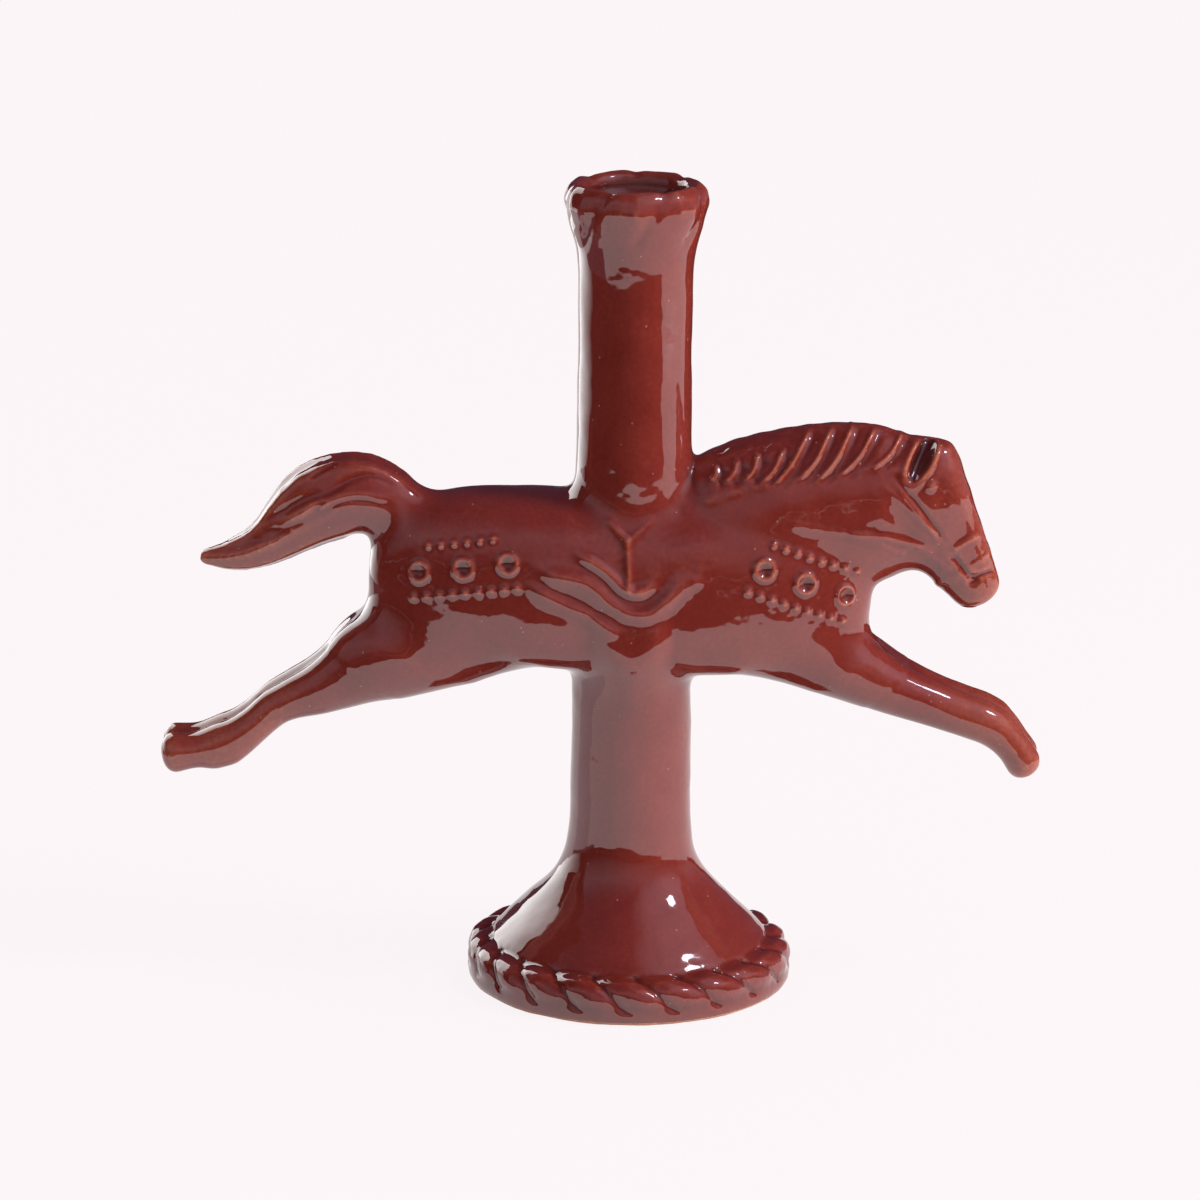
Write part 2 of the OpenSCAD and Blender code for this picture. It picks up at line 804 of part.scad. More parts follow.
foot();
rope_border();
pole();
socket_floor();
collar();
barrel();
neck();
head();
right_ear();
left_ear();
mane();
tail();
right_foreleg();
left_foreleg();
right_hind_leg();
left_hind_leg();
right_saddle_cloth();
left_saddle_cloth();
right_saddle_flap();
left_saddle_flap();
right_stirrup_strap();
left_stirrup_strap();
right_breast_band();
left_breast_band();
right_rump_band();
left_rump_band();
noseband();
right_cheek_strap();
left_cheek_strap();
right_rein();
left_rein();
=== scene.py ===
# %% [markdown]
# # A glazed candle holder with a fairground horse
# The real object is earthenware. The horse, the pole and the bell foot were cast or pressed by
# themselves, stuck together with slip, and dipped in one thick brown-red glaze. After the firing
# no joint shows any more. The solids of the frame are the single pieces, with crisp joints. This
# lesson melts them into one soft skin, carves the fine relief into it, glazes it, and cuts it
# into its named pieces again, so that each piece still stands for its own solid.

# %% Load the frame
import math

import bmesh
import bpy
import numpy as np
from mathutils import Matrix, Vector, noise
from mathutils.bvhtree import BVHTree


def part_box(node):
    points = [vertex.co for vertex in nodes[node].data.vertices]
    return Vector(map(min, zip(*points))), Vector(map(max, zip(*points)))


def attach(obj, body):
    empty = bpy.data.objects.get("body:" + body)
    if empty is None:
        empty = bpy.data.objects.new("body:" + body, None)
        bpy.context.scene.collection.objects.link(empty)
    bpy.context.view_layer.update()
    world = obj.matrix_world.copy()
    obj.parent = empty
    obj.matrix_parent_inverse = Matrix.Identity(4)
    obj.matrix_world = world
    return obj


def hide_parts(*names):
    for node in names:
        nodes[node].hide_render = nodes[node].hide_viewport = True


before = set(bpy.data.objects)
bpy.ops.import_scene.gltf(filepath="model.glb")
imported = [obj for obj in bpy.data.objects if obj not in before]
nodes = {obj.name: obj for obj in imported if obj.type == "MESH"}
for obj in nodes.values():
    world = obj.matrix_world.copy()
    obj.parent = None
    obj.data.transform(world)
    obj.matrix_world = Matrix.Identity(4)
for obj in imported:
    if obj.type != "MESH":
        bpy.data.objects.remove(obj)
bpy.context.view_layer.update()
MM = 1000.0

# %% [markdown]
# The photograph looks at the horse's right side, a little from above, with a long lens, so the
# lines hardly converge. The holder leans half a degree in the picture, which is a turn of the
# camera about its own axis.

# %% Camera
EYE = Vector((-0.0081, -1.25, 0.44))
AIM = Vector((-0.0081, 0, 0.0985))
LENS, SENSOR = 155.3, 36
LEAN = math.radians(0.5)
scene = bpy.context.scene
camera = bpy.data.objects.new("camera", bpy.data.cameras.new("camera"))
camera.data.lens = LENS
camera.data.sensor_width = SENSOR
camera.location = EYE
camera.rotation_euler = (AIM - EYE).to_track_quat("-Z", "Y").to_euler()
camera.rotation_euler.rotate_axis("Z", LEAN)
scene.collection.objects.link(camera)
scene.camera = camera
print("camera is", round((AIM - EYE).length, 2), "m away")

# %% [markdown]
# Glaze is a mirror, so what stands around it matters as much as the lamps. The holder stood in
# the sun on pale paper, with dark ground beyond the paper's edge. The paper gives the mauve
# reflections on the lower halves, and the dark ground leaves the upper halves deep red. A studio
# copies this with cards that lie on the floor: dark ones for the ground, and two dim ones for
# the holder's own shadow. Their materials have one colour each, so one helper makes them all.

# %% Dark card and shaded paper
def shader_nodes(owner):
    owner.use_nodes = True
    owner.node_tree.nodes.clear()
    return owner.node_tree.nodes, owner.node_tree.links


def coloured(tree, kind, colour):
    node = tree.new(kind)
    node.inputs["Color"].default_value = colour
    return node


def surface(tree, links, shader, output="ShaderNodeOutputMaterial"):
    links.new(shader.outputs[0], tree.new(output).inputs[0])


def plain_material(name, kind, colour):
    material = bpy.data.materials.new(name)
    tree, links = shader_nodes(material)
    surface(tree, links, coloured(tree, kind, colour))
    return material


dark = plain_material("dark_card", "ShaderNodeBsdfDiffuse", (0.016, 0.013, 0.013, 1))
half_shade = plain_material("half_shaded_paper", "ShaderNodeEmission", (0.72, 0.70, 0.76, 1))
shade = plain_material("shaded_paper", "ShaderNodeEmission", (0.10, 0.10, 0.15, 1))
print("card materials:", dark.name, half_shade.name, shade.name)

# %% [markdown]
# The floor is a wide disc of pale paper. The camera and the glaze see it nearly white, with a
# soft trace of the holder's shadow, while the light that it throws up is that of plain matt
# paper. The Light Path node tells these two apart. Two more helpers come with it: `feed` joins a
# socket or sets its number, and `counted` adds a math node.

# %% Floor
def feed(links, value, socket):
    if hasattr(value, "links"):
        links.new(value, socket)
    else:
        socket.default_value = value


def counted(tree, links, operation, a, b, c=0.0):
    node = tree.new("ShaderNodeMath")
    node.operation = operation
    for socket, value in zip(node.inputs, (a, b, c)):
        feed(links, value, socket)
    return node.outputs[0]


def blended(tree, links, share, first, second):
    node = tree.new("ShaderNodeMixShader")
    feed(links, share, node.inputs[0])
    links.new(first.outputs[0], node.inputs[1])
    links.new(second.outputs[0], node.inputs[2])
    return node


def seen_directly(tree, links):
    ray = tree.new("ShaderNodeLightPath").outputs
    either = counted(tree, links, "MAXIMUM", ray["Is Camera Ray"], ray["Is Glossy Ray"])
    return counted(tree, links, "MAXIMUM", either, ray["Is Transmission Ray"])


def flat_ring(name, inner, outer, start, end, height, rise=0, steps=96):
    angles = [math.radians(start + (end - start) * i / steps) for i in range(steps + 1)]
    edges = ((inner, height), (outer, height + rise))
    points = [(r * math.sin(a), -r * math.cos(a), z) for a in angles for r, z in edges]
    faces = [(2 * i, 2 * i + 1, 2 * i + 3, 2 * i + 2) for i in range(steps)]
    mesh = bpy.data.meshes.new(name)
    mesh.from_pydata(points, [], faces)
    ring = bpy.data.objects.new(name, mesh)
    scene.collection.objects.link(ring)
    return ring


PAPER_WHITE = (1.0, 0.947, 0.964, 1)
PAPER_GLOW = 0.92
paper = bpy.data.materials.new("pale_paper")
tree, links = shader_nodes(paper)
shadowed = coloured(tree, "ShaderNodeBsdfDiffuse", (0.93, 0.88, 0.895, 1))
glow = coloured(tree, "ShaderNodeEmission", PAPER_WHITE)
matt = coloured(tree, "ShaderNodeBsdfDiffuse", (0.88, 0.83, 0.81, 1))
shown = blended(tree, links, PAPER_GLOW, shadowed, glow)
surface(tree, links, blended(tree, links, seen_directly(tree, links), matt, shown))
floor = flat_ring("floor", 0.0, 14.0, -180, 180, -0.0001)
floor.data.materials.append(paper)
print("floor is", round(floor.dimensions.x), "m wide")

# %% [markdown]
# Now the cards. Only reflections can see them, so they neither show nor cast a shadow. A white
# one stands on the left and grows brighter towards the back: it draws the white line along the
# left edge of pole, tail and hind leg. Each row gives the inner and outer radius in metres, the
# angles where the card starts and ends, its height over the floor and how far it rises.

# %% Cards around the holder
def only_in_reflections(card, material):
    card.data.materials.append(material)
    card.visible_camera = False
    card.visible_diffuse = False
    card.visible_shadow = False
    card.visible_transmission = False


bright = bpy.data.materials.new("white_card")
tree, links = shader_nodes(bright)
axes = tree.new("ShaderNodeSeparateXYZ")
links.new(tree.new("ShaderNodeTexCoord").outputs["Object"], axes.inputs[0])
brighter_behind = counted(tree, links, "MULTIPLY_ADD", axes.outputs["Y"], 9.0, -0.4)
glow = tree.new("ShaderNodeEmission")
links.new(counted(tree, links, "MAXIMUM", brighter_behind, 0.0), glow.inputs["Strength"])
surface(tree, links, glow)

CARDS = [
    ("card_front", dark, 0.48, 5.0, -119, 56, 0.001, 0),
    ("card_back", dark, 0.42, 5.0, 119, 185, 0.001, 0),
    ("card_left", bright, 0.50, 0.52, -150, -114, 0.0, 0.7),
    ("card_low", bright, 0.49, 0.50, -114, -94, 0.0, 0.14),
    ("card_edge", dark, 0.50, 0.52, -114, -82, 0.0, 3.0),
    ("card_half_shade", half_shade, 0.07, 0.30, -116, -80, 0.0005, 0),
    ("card_shade", shade, 0.30, 0.49, -116, -64, 0.0005, 0),
]
for name, material, *form in CARDS:
    only_in_reflections(flat_ring(name, *form), material)
print("cards:", len(CARDS))

# %% [markdown]
# The sky lights everything evenly with a soft grey, and shows as white behind the holder.

# %% Sky
world = bpy.data.worlds.new("sky")
scene.world = world
tree, links = shader_nodes(world)
soft_sky = coloured(tree, "ShaderNodeBackground", (0.46, 0.44, 0.46, 1))
white_sky = coloured(tree, "ShaderNodeBackground", PAPER_WHITE)
sky = blended(tree, links, seen_directly(tree, links), soft_sky, white_sky)
surface(tree, links, sky, "ShaderNodeOutputWorld")
scene.view_settings.view_transform = "Standard"
print("view transform:", scene.view_settings.view_transform)

# %% [markdown]
# A tent of grey cloth stands around it all, again for reflections only. It is dark above the
# horizon, like the walls around a yard, lighter half way up, deep blue overhead and behind, and
# hazy around the sun. The small bright disc of the sun gives the sparkles.

# %% Tent
def colour_ramp(tree, stops):
    ramp = tree.new("ShaderNodeValToRGB")
    elements = ramp.color_ramp.elements
    for element, (position, colour) in ((elements[0], stops[0]), (elements[1], stops[-1])):
        element.position = position
        element.color = colour + (1,)
    for position, colour in stops[1:-1]:
        elements.new(position).color = colour + (1,)
    return ramp


TENT = 6.0
SUN_FROM = Vector((0.61, -0.20, 0.77))
SUN_EDGE, SUN_GLARE = 0.998, 25.0
cloth = bpy.data.materials.new("grey_cloth")
tree, links = shader_nodes(cloth)
spot = tree.new("ShaderNodeTexCoord").outputs["Object"]
axes = tree.new("ShaderNodeSeparateXYZ")
links.new(spot, axes.inputs[0])
behind = counted(tree, links, "MAXIMUM", axes.outputs["Y"], 0.0)
way_up = counted(tree, links, "MULTIPLY_ADD", behind, 0.8, axes.outputs["Z"])
fade = colour_ramp(tree, [(0.05, (0.012, 0.011, 0.012)), (0.20, (0.18, 0.16, 0.18)),
                          (0.45, (0.28, 0.25, 0.30)), (0.65, (0.14, 0.13, 0.18)),
                          (0.82, (0.05, 0.05, 0.08)), (0.97, (0.03, 0.03, 0.06))])
links.new(counted(tree, links, "DIVIDE", way_up, TENT), fade.inputs[0])
sunward = tree.new("ShaderNodeVectorMath")
sunward.operation = "DOT_PRODUCT"
sunward.inputs[1].default_value = SUN_FROM / TENT
links.new(spot, sunward.inputs[0])
haze = colour_ramp(tree, [(0.80, (0, 0, 0)), (0.98, (0.46, 0.42, 0.50))])
links.new(sunward.outputs["Value"], haze.inputs[0])
both = tree.new("ShaderNodeVectorMath")
links.new(fade.outputs[0], both.inputs[0])
links.new(haze.outputs[0], both.inputs[1])
disc = counted(tree, links, "GREATER_THAN", sunward.outputs["Value"], SUN_EDGE)
glow = tree.new("ShaderNodeEmission")
links.new(both.outputs[0], glow.inputs["Color"])
links.new(counted(tree, links, "MULTIPLY_ADD", disc, SUN_GLARE, 1.0), glow.inputs["Strength"])
surface(tree, links, glow)

shape = bmesh.new()
bmesh.ops.create_uvsphere(shape, u_segments=48, v_segments=32, radius=TENT)
below = [v for v in shape.verts if v.co.z < -0.01]
bmesh.ops.delete(shape, geom=below, context="VERTS")
mesh = bpy.data.meshes.new("tent")
shape.to_mesh(mesh)
shape.free()
tent = bpy.data.objects.new("tent", mesh)
scene.collection.objects.link(tent)
only_in_reflections(tent, cloth)
print("tent of", len(mesh.polygons), "faces")

# %% [markdown]
# Two lamps are enough: a soft sun high up on the right, and a low window on the same side. The
# window is hidden from reflections, because a square of light in the glaze would look false.

# %% Sun and window
sun = bpy.data.objects.new("sun", bpy.data.lights.new("sun", "SUN"))
sun.data.energy = 0.7
sun.data.angle = math.radians(11)
sun.rotation_euler = SUN_FROM.to_track_quat("Z", "Y").to_euler()
scene.collection.objects.link(sun)

window = bpy.data.objects.new("window", bpy.data.lights.new("window", "AREA"))
window.data.energy = 11
window.data.size = 0.3
window.data.color = (1.0, 0.96, 0.92)
window.location = (1.10, -0.32, 0.24)
window.rotation_euler = (window.location - AIM).to_track_quat("Z", "Y").to_euler()
window.visible_glossy = False
scene.collection.objects.link(window)
print("sun strength", round(sun.data.energy, 1), "window power", window.data.energy)

# %% [markdown]
# Now the clay. The solids are copied into arrays, in millimetres, because millimetres are easier
# to think in for a thing of this size. Only the cast pieces are melted together. The thin relief
# on them follows later.

# %% Solids as arrays
CAST = ["foot", "rope_border", "pole", "socket_floor", "collar", "barrel", "neck", "head", "tail",
        "right_foreleg", "left_foreleg", "right_hind_leg", "left_hind_leg"]


def triangles(name):
    mesh = nodes[name].data
    mesh.calc_loop_triangles()
    points = np.zeros(3 * len(mesh.vertices))
    mesh.vertices.foreach_get("co", points)
    corners = np.zeros(3 * len(mesh.loop_triangles), int)
    mesh.loop_triangles.foreach_get("vertices", corners)
    return points.reshape(-1, 3) * MM, corners.reshape(-1, 3)


def gathered(names):
    points, faces, owner, count = [], [], [], 0
    for number, name in enumerate(names):
        p, f = triangles(name)
        points.append(p)
        faces.append(f + count)
        owner.append(np.full(len(f), number))
        count += len(p)
    return np.vstack(points), np.vstack(faces), np.concatenate(owner)


points, faces, _ = gathered(CAST)
print("cast pieces:", len(CAST), "with", len(faces), "triangles")

# %% [markdown]
# A ring of slip fills the valley between the bell and its rope, as the potter's brush does. A
# voxel remesh then gives all of it one skin: gaps and overlaps at the joints disappear. Booleans
# could join the solids too, but they would keep every crease of the joints.

# %% One skin of clay
VOXEL = 0.65
SLIP = [(33, 2.8), (40.6, 2.8), (40.6, 5.0), (37.5, 8.8), (34.5, 11.3), (30, 15.4), (26, 18.8),
        (24, 16)]
turns = np.radians(np.arange(0, 360, 2))
slip = [(r * math.cos(a), r * math.sin(a), z) for a in turns for r, z in SLIP]
first, corners, around = len(points), len(SLIP), len(SLIP) * len(turns)
slip_faces = []
for i in range(len(turns)):
    here, there = corners * i, corners * (i + 1)
    for j in range(corners):
        following = (j + 1) % corners
        slip_faces.append([first + here + j, first + (there + j) % around,
                           first + (there + following) % around, first + here + following])
mesh = bpy.data.meshes.new("clay")
mesh.from_pydata(points.tolist() + slip, [], faces.tolist() + slip_faces)
clay = bpy.data.objects.new("clay", mesh)
scene.collection.objects.link(clay)
melt = clay.modifiers.new("melt", "REMESH")
melt.mode = "VOXEL"
melt.voxel_size = VOXEL
bpy.context.view_layer.update()
melted = clay.evaluated_get(bpy.context.evaluated_depsgraph_get())
skin = bpy.data.meshes.new_from_object(melted)
bpy.data.objects.remove(clay)
print("skin:", len(skin.vertices), "points")

# %% [markdown]
# Each point of the skin takes the name of the solid that it lies on. A point that is near both
# pieces of a joint lies on the joint. A tree of the triangles (a BVH) finds the nearest one fast.

# %% Which solid lies where
NAMES = sorted(nodes)
LEGS = [name for name in CAST if name.endswith("leg")]
JOINTS = [(LEGS, ["barrel"]), (["head"], ["neck"]), (["pole"], ["barrel"]),
          (["tail"], ["barrel"]), (["collar"], ["pole"])]
JOINT_WIDTH, BELOW_ROLL, OUTSIDE_POLE = 5.0, 196, 13


def place_of(mesh):
    p = np.zeros(3 * len(mesh.vertices))
    mesh.vertices.foreach_get("co", p)
    return p.reshape(-1, 3)


def axis_distance(p):
    return np.hypot(p[:, 0], p[:, 1])


def nearest_names(p, names):
    points, faces, owner = gathered(names)
    tree = BVHTree.FromPolygons(points.tolist(), faces.tolist())
    found = [tree.find_nearest(q) for q in p.tolist()]
    return owner[[f[2] for f in found]], np.array([f[3] for f in found])


def near(p, names, margin):
    inside = np.zeros(len(p), bool)
    for name in names:
        low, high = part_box(name)
        low, high = np.array(low) * MM - margin, np.array(high) * MM + margin
        inside |= ((p > low) & (p < high)).all(1)
    rows = np.flatnonzero(inside)
    _, apart = nearest_names(p[rows], names)
    inside[rows] = apart < margin
    return inside


place = place_of(skin)
from_axis = axis_distance(place)
lies_on, _ = nearest_names(place, CAST)
joints = np.zeros(len(place), bool)
for one, other in JOINTS:
    joints |= near(place, one, JOINT_WIDTH) & near(place, other, JOINT_WIDTH)
joints &= (place[:, 2] < BELOW_ROLL) & (from_axis > OUTSIDE_POLE)
print(int(joints.sum()), "points lie on the joints")

# %% [markdown]
# Softening moves every point a little towards the middle of its neighbours, many times over. The
# big smooth forms may be softened a lot, so that facets vanish; the rope, the collar, the head,
# the socket and the foot's edge only a little. Softening shrinks a form, so the big ones are
# plumped up again. The joints are softened once more, until they are fillets.

# %% Soft fillets
SOFTNESS = {"rope_border": 0.12, "collar": 0.06, "head": 0.20, "tail": 0.10, "neck": 0.8,
            "right_foreleg": 0.35, "left_foreleg": 0.35, "right_hind_leg": 0.35,
            "left_hind_leg": 0.35, "socket_floor": 0.10}
SOCKET_WALL, SOCKET_LOW, SOCKET_SOFTNESS = 12.6, 160, 0.08
EDGE_HIGH, FOOT_WIDE, EDGE_SOFTNESS = 4, 45, 0.10
PLUMP = 0.25


def outward(mesh):
    n = np.zeros(3 * len(mesh.vertices))
    mesh.vertex_normals.foreach_get("vector", n)
    return n.reshape(-1, 3)


def move_to(mesh, p):
    mesh.vertices.foreach_set("co", p.ravel())
    mesh.update()


def rising(values, start, end):
    return np.clip((values - start) / (end - start), 0, 1)


def soften(mesh, values, rounds, amount=0.5):
    ends = np.zeros(2 * len(mesh.edges), int)
    mesh.edges.foreach_get("vertices", ends)
    a, b = ends[0::2], ends[1::2]
    count = len(mesh.vertices)
    neighbours = np.maximum(np.bincount(ends, minlength=count), 1)
    values = np.array(values, float)
    columns = values.reshape(count, -1)
    for _ in range(rounds):
        for column in columns.T:
            around = np.bincount(a, column[b], count) + np.bincount(b, column[a], count)
            column += amount * (around / neighbours - column)
    return values


amount = np.array([SOFTNESS.get(name, 1.0) for name in CAST])[lies_on]
amount[(from_axis < SOCKET_WALL) & (place[:, 2] > SOCKET_LOW)] = SOCKET_SOFTNESS
amount[(place[:, 2] < EDGE_HIGH) & (from_axis < FOOT_WIDE)] = EDGE_SOFTNESS
amount[near(place, LEGS, 1.5) & near(place, ["barrel"], 14.0)] = 1.0
amount = soften(skin, amount, 6)
move_to(skin, soften(skin, place, 60, 0.5 * amount))
plump = PLUMP * rising(amount, 0.5, 1.0)
move_to(skin, place_of(skin) + outward(skin) * plump[:, None])
amount = soften(skin, joints.astype(float), 12)
place = soften(skin, place_of(skin), 120, 0.5 * amount)
move_to(skin, place)
print("softened, and plumped by up to", round(float(plump.max()), 2), "mm")

# %% [markdown]
# The pole was thrown on the wheel: under the collar it opens in one even curve. A straight line
# is fitted to the shaft, the curve is added to it, and the points go to that distance from the
# axis.

# %% The pole opens under the collar
SHAFT_LOW, SHAFT_HIGH, ROLL = 150, 168, 198
FLARE_LOW, FLARE_HIGH, FLARE_OUT = 166, 199, 5.2
from_axis, level = axis_distance(place), place[:, 2]
outer = from_axis > SOCKET_WALL
shaft = outer & (level > SHAFT_LOW) & (level < SHAFT_HIGH)
wanted = np.polyval(np.polyfit(level[shaft], from_axis[shaft], 1), level)
wanted += FLARE_OUT * rising(level, FLARE_LOW, FLARE_HIGH) ** 4
share = outer * rising(level, SOCKET_LOW, SOCKET_LOW + 6) * rising(level, ROLL, ROLL - 4)
place[:, :2] *= (1 + share * (wanted / np.maximum(from_axis, 1) - 1))[:, None]
opening = outer & (level > SHAFT_HIGH) & (level < ROLL)
amount = soften(skin, opening.astype(float), 4)
move_to(skin, soften(skin, place, 10, 0.5 * amount))
print("points on the curve:", int(opening.sum()))

# %% [markdown]
# The harness, the saddle and the mane are thin relief. They need more points than the smooth
# forms, so only the faces near them, and those of head, tail and rope, are divided once more.

# %% Finer clay where the relief comes
RELIEF = [name for name in NAMES if name not in CAST]
FINE = RELIEF + ["head", "tail", "rope_border"]
place = place_of(skin)
fine = near(place, FINE, 2.0) & ~(axis_distance(place) < SOCKET_WALL)
shape = bmesh.new()
shape.from_mesh(skin)
shape.verts.ensure_lookup_table()
chosen = [e for e in shape.edges if fine[e.verts[0].index] and fine[e.verts[1].index]]
bmesh.ops.subdivide_edges(shape, edges=chosen, cuts=1, use_grid_fill=True)
bmesh.ops.triangulate(shape, faces=[f for f in shape.faces if len(f.verts) > 4])
shape.to_mesh(skin)
shape.free()
place = place_of(skin)
fine = near(place, FINE, 2.5)
move_to(skin, soften(skin, place, 4, 0.5 * soften(skin, fine.astype(float), 3)))
print("skin:", len(skin.vertices), "points,", int(fine.sum()), "of them fine")

# %% [markdown]
# Then every point near the relief looks straight out of the skin. Where it meets a strap, the
# saddle or the mane, it rises by a share of their height, softened: glaze fills the rest.

# %% Raise the relief
BANDS = [name for name in RELIEF if name.endswith("_band")]
STRAPS = [name for name in RELIEF if "strap" in name or "rein" in name or name == "noseband"]
SADDLE = [name for name in RELIEF if "saddle" in name]
SADDLE_SHARE, MANE_SHARE, STRAP_SHARE = 0.20, 0.35, 0.25


def risen(mesh, names, reach, rounds):
    points, faces, _ = gathered(names)
    tree = BVHTree.FromPolygons(points.tolist(), faces.tolist())
    p, n = place_of(mesh), outward(mesh)
    height = np.zeros(len(p))
    for i in np.flatnonzero(near(p, names, 3.0)):
        start = Vector(p[i] + reach * n[i])
        hit = tree.ray_cast(start, Vector(-n[i]), reach + 0.2)
        if hit[0] is not None:
            height[i] = max(reach - hit[3], 0)
    return soften(mesh, height, rounds)


place = place_of(skin)
saddle_height = SADDLE_SHARE * rising(place[:, 2], 118, 109) * risen(skin, SADDLE, 3.0, 24)
mane_height = MANE_SHARE * risen(skin, ["mane"], 3.0, 40)
strap_height = STRAP_SHARE * risen(skin, STRAPS, 2.0, 10)
height = np.maximum(np.maximum(saddle_height, mane_height), strap_height)
move_to(skin, place + outward(skin) * height[:, None])
print("highest relief", round(float(height.max()), 2), "mm")

# %% [markdown]
# The harness bands are sprigs: beads and small rings, pressed in little moulds and stuck on. The
# glaze rounds them over, so they are drawn as soft bumps and ringed hollows around the middle of
# each solid, straight out of the skin. A band is one node of many loose solids, which are told
# apart by the corners that their triangles share.

# %% Beads and medallions
MEDALLION_WIDE, RING_RADIUS = 4, 2.3
SPRIG_REACH, SPRIG_MIDDLE = 6, 3


def loose_parts(name):
    p, faces = triangles(name)
    _, same = np.unique(np.round(p, 2), axis=0, return_inverse=True)
    same = same.ravel()
    label = np.arange(same.max() + 1)
    pairs = same[faces[:, [0, 1, 1, 2, 2, 0]].reshape(-1, 2)]
    while True:
        fresh = label.copy()
        low = label[pairs].min(1)
        np.minimum.at(fresh, pairs[:, 0], low)
        np.minimum.at(fresh, pairs[:, 1], low)
        if (fresh == label).all():
            return [p[label[same] == k] for k in np.unique(label)]
        label = fresh


def bump(distance, width):
    return np.exp(-((distance / width) ** 2))


place, normal = place_of(skin), outward(skin)
lift = np.zeros_like(place)
count = {"bead": 0, "medallion": 0}
for name in BANDS:
    for part in loose_parts(name):
        centre = (part.min(0) + part.max(0)) / 2
        rows = np.flatnonzero(((place - centre) ** 2).sum(1) < SPRIG_REACH**2)
        offset = place[rows] - centre
        axis = normal[rows[(offset**2).sum(1) < SPRIG_MIDDLE**2]].mean(0)
        axis /= np.linalg.norm(axis)
        aside = np.linalg.norm(offset - (offset @ axis)[:, None] * axis, axis=1)
        if np.ptp(part, axis=0).max() > MEDALLION_WIDE:
            count["medallion"] += 1
            height = 0.6 * bump(aside - RING_RADIUS, 0.75) - 0.4 * bump(aside, 1.2)
        else:
            count["bead"] += 1
            height = 0.6 * bump(aside, 0.95)
        lift[rows] += height[:, None] * axis
move_to(skin, place + lift)
print("sprigs:", count)

# %% [markdown]
# The saddle's skirt hangs down over the belly to a point above the pole. Its hem is a V in the
# side view. Above the hem the skirt leans in a little, below it runs back under the belly, and
# a point that lies further in than this moves out to it.

# %% Skirt of the saddle
SKIRT_POINT, SKIRT_OUT, HEM_SLOPE = 87.0, 21.2, 0.6
LEAN_ABOVE, LEAN_BELOW = 0.08, 0.48
BODY_MIDDLE, POLE_LOW, POLE_HIGH = 105.0, 66, 86
place, normal = place_of(skin), outward(skin)
outside = normal[:, 1] * place[:, 1] + normal[:, 2] * (place[:, 2] - BODY_MIDDLE) > 0
outside &= (np.abs(place[:, 1]) > 8) & (place[:, 2] > POLE_LOW)
aside = np.abs(place[:, 0])
above_hem = place[:, 2] - SKIRT_POINT - HEM_SLOPE * aside
flared = SKIRT_OUT - LEAN_ABOVE * np.clip(above_hem, 0, None)
flared += LEAN_BELOW * np.clip(above_hem, None, 0)
hang = rising(aside, 10, 6) * rising(place[:, 2], 101, 96)
hang *= outside * np.clip(flared - np.abs(place[:, 1]), 0, None)
place[:, 1] += np.sign(place[:, 1]) * hang
move_to(skin, place)
loose = soften(skin, (hang > 0.1).astype(float), 6)
place = soften(skin, place, 16, 0.5 * loose)
under = (aside < 14) & (np.abs(place[:, 1]) > 6)
under &= (place[:, 2] < POLE_HIGH) & (place[:, 2] > POLE_LOW)
loose = soften(skin, under.astype(float), 10)
move_to(skin, soften(skin, place, 40, 0.5 * loose))
print("skirt hangs out by up to", round(float(hang.max()), 1), "mm")

# %% [markdown]
# The rest of the carving was done in the plaster mould with a few tools: a round stick for the
# rolls of the saddle, a knife for the locks of the mane, a point for the mouth and nostrils. A
# stroke is a line in the side view, with a width and a height; every point of the skin near that
# line moves out or in. The line is rounded at its corners and fades at its ends, as a tool is
# set down and lifted again. Both sides get the same strokes.

# %% Rolls of the saddle
EDGE_ON, FACE_ON = 0.15, 0.45
END_FADE = 0.2


def rounded(line, rounds=3):
    line = np.array(line, float)
    for _ in range(rounds):
        a, b = line[:-1], line[1:]
        cut = np.stack([0.75 * a + 0.25 * b, 0.25 * a + 0.75 * b], 1).reshape(-1, 2)
        line = np.vstack([line[:1], cut, line[-1:]])
    return line


def along_line(flat, line):
    apart = np.full(len(flat), 1e9)
    way = np.zeros(len(flat))
    gone = 0.0
    for a, b in zip(line[:-1], line[1:]):
        length = np.linalg.norm(b - a)
        along = np.clip((flat - a) @ (b - a) / length**2, 0, 1)
        here = np.linalg.norm(flat - a - along[:, None] * (b - a), axis=1)
        way = np.where(here < apart, gone + along * length, way)
        apart = np.minimum(apart, here)
        gone += length
    return apart, way, gone


def strokes(mesh, lines, where, over_the_top=0):
    p, n = place_of(mesh), outward(mesh)
    rows = np.flatnonzero(where)
    flat = p[rows][:, [0, 2]]
    facing = np.maximum(rising(np.abs(n[rows, 1]), EDGE_ON, FACE_ON), over_the_top)
    total = np.zeros(len(rows))
    for line, width, rise in lines:
        apart, way, long = along_line(flat, rounded(line))
        fade = 1.0
        if long > 2 * width:
            fade = rising(np.minimum(way, long - way), 0, END_FADE * long)
        total += rise * fade * bump(apart, width)
    p[rows] += n[rows] * (total * facing)[:, None]
    move_to(mesh, p)


